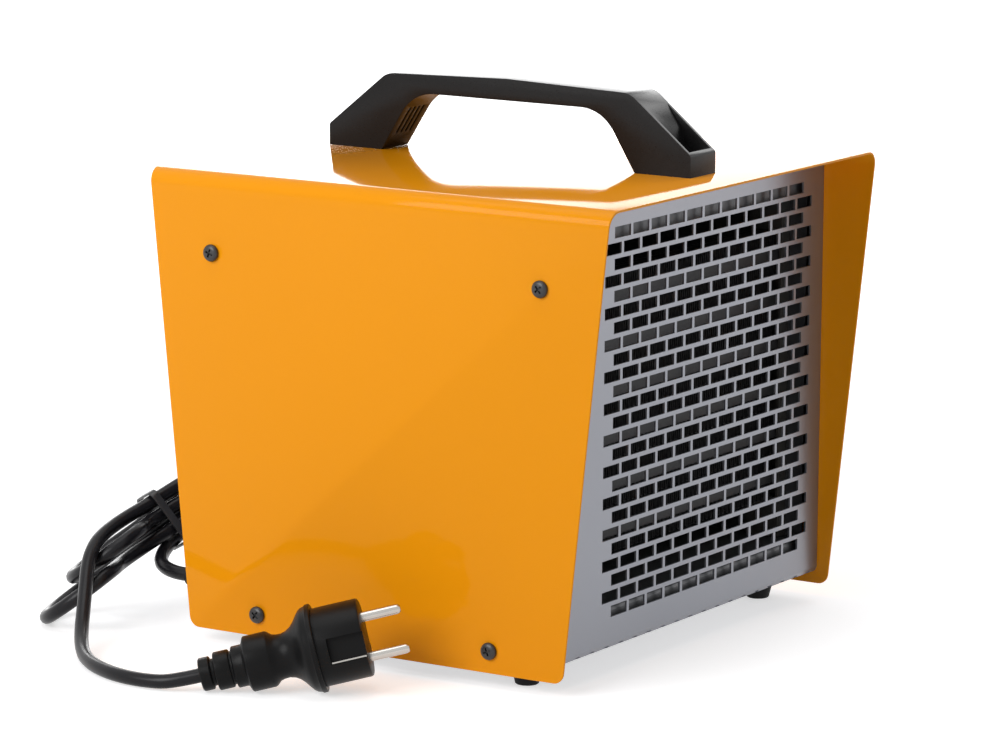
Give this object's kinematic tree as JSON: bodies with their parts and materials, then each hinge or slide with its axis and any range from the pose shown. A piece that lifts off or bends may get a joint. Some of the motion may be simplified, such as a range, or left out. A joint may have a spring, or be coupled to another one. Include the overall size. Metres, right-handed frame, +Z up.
{
  "type": "forced air heater",
  "caption": "Portable box-shaped fan heater with a perforated front, bridge handle, rubber feet, rear rotary controls and a tied mains cord with plug.",
  "frame": {"origin": "Centre of the heater's bounding box in plan, on the floor under its rubber feet", "axes": "+Z up, -Y out of the perforated air outlet at the front, +X to the right as seen from the front"},
  "size_m": [0.3556, 0.3256, 0.2737],
  "materials": {
    "orange_paint": "gloss",
    "grey_paint": "satin",
    "galvanised": "satin",
    "steel": "satin",
    "aluminium": "satin",
    "copper": "satin",
    "nickel": "satin",
    "black_steel": "satin",
    "black_plastic": "satin",
    "brown_plastic": "matte",
    "white_ceramic": "matte",
    "rubber": "matte",
    "cord_sheath": "satin",
    "wire": "satin"
  },
  "bodies": {
    "housing": {"cover": "orange_paint", "front_grille_base": "grey_paint", "rear_panel": "grey_paint", "duct_partition": "galvanised", "duct_wall": "galvanised", "duct_floor": "galvanised", "duct_roof": "galvanised", "element_rail_left": "white_ceramic", "element_rail_right": "white_ceramic", "heating_bar_1": "aluminium", "heating_bar_2": "aluminium", "heating_bar_3": "aluminium", "heating_bar_4": "aluminium", "heating_bar_5": "aluminium", "heating_bar_6": "aluminium", "busbar_live": "copper", "busbar_neutral": "copper", "thermal_cutout": "brown_plastic", "fan_shroud": "galvanised", "motor_strap": "steel", "motor_body": "black_steel", "motor_nut": "steel", "screw_left_upper_front": "black_steel", "screw_left_upper_rear": "black_steel", "screw_left_lower_front": "black_steel", "screw_left_lower_rear": "black_steel", "screw_right_upper_front": "black_steel", "screw_right_upper_rear": "black_steel", "screw_right_lower_front": "black_steel", "screw_right_lower_rear": "black_steel", "foot_front_left": "rubber", "foot_front_right": "rubber", "foot_rear_left": "rubber", "foot_rear_right": "rubber", "handle": "black_plastic", "handle_screw_front": "steel", "handle_screw_rear": "steel", "mode_switch": "brown_plastic", "mode_nut": "steel", "thermostat_body": "steel", "thermostat_nut": "steel", "thermostat_bulb": "copper", "terminal_block": "white_ceramic", "strain_relief": "rubber", "cord_cores": "wire", "wiring_loom": "wire", "cord_exit": "cord_sheath", "cord_hank": "cord_sheath", "cord_lead": "cord_sheath", "cord_tie": "black_steel", "plug_body": "black_plastic", "plug_pin_lower": "nickel", "plug_pin_upper": "nickel", "plug_earth_strip_left": "nickel", "plug_earth_strip_right": "nickel"},
    "fan": {"fan_impeller": "black_plastic", "motor_shaft": "steel", "fan_nut": "steel"},
    "mode_control": {"mode_knob": "black_plastic"},
    "thermostat_control": {"thermostat_knob": "black_plastic"}
  },
  "joints": [
    {"name": "fan_spin", "type": "hinge", "parent": "housing", "child": "fan", "pos_m": [0.01525, 0.045, 0.1272], "axis": [0, 1, 0], "continuous": true},
    {"name": "mode_turn", "type": "hinge", "parent": "housing", "child": "mode_control", "pos_m": [-0.106, 0.105, 0.1865], "axis": [0, -1, 0], "range_deg": [0, 135]},
    {"name": "thermostat_turn", "type": "hinge", "parent": "housing", "child": "thermostat_control", "pos_m": [-0.106, 0.105, 0.1395], "axis": [0, -1, 0], "range_deg": [0, 270]}
  ]
}
